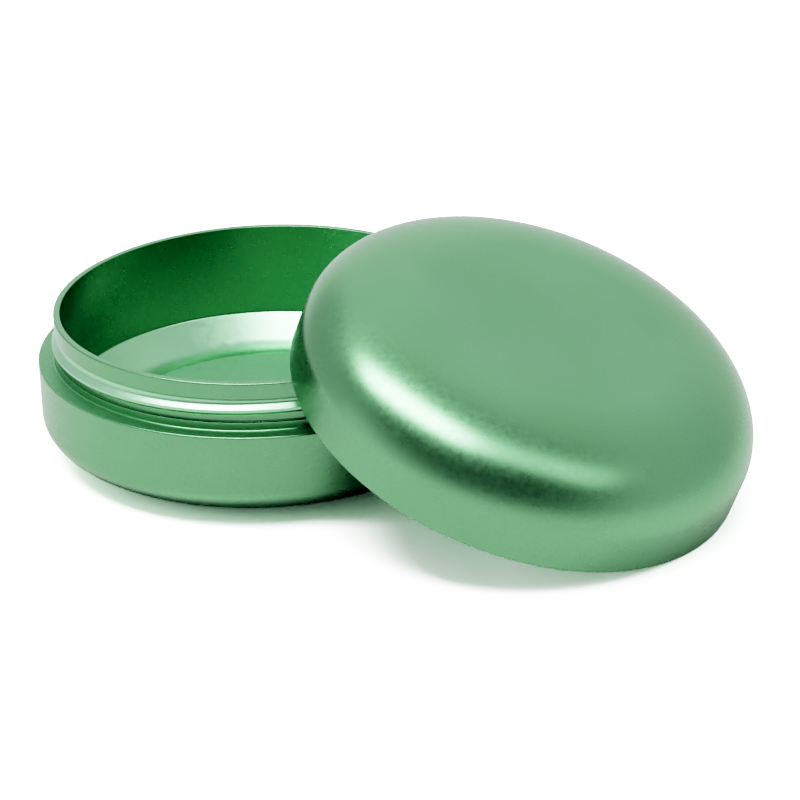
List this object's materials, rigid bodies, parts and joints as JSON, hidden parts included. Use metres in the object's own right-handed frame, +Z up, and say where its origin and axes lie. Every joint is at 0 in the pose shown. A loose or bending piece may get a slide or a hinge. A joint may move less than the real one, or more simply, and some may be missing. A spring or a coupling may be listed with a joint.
{
  "type": "shaving soap bowl with screw lid",
  "caption": "Round, low bowl for a shaving soap puck, with a threaded neck and a domed screw-on lid, taken off and leaning on the bowl's lip.",
  "frame": {"origin": "centre of the bowl's flat underside, where its axis meets the table", "axes": "+Z up along the bowl's axis; the lid leans on the bowl in the direction 34 degrees from +X towards -Y"},
  "size_m": [0.1392, 0.1236, 0.0493],
  "materials": {
    "bowl_anodised": "bead-blasted and anodised green, satin",
    "lid_anodised": "bead-blasted and anodised green, satin"
  },
  "bodies": {
    "bowl": {"bowl": "bowl_anodised"},
    "lid": {"lid": "lid_anodised"}
  },
  "joints": [
    {"name": "lid_lift", "type": "slide", "parent": "bowl", "child": "lid", "axis": [0.3221, -0.2172, 0.9215], "range_m": [0, 0.08]}
  ]
}
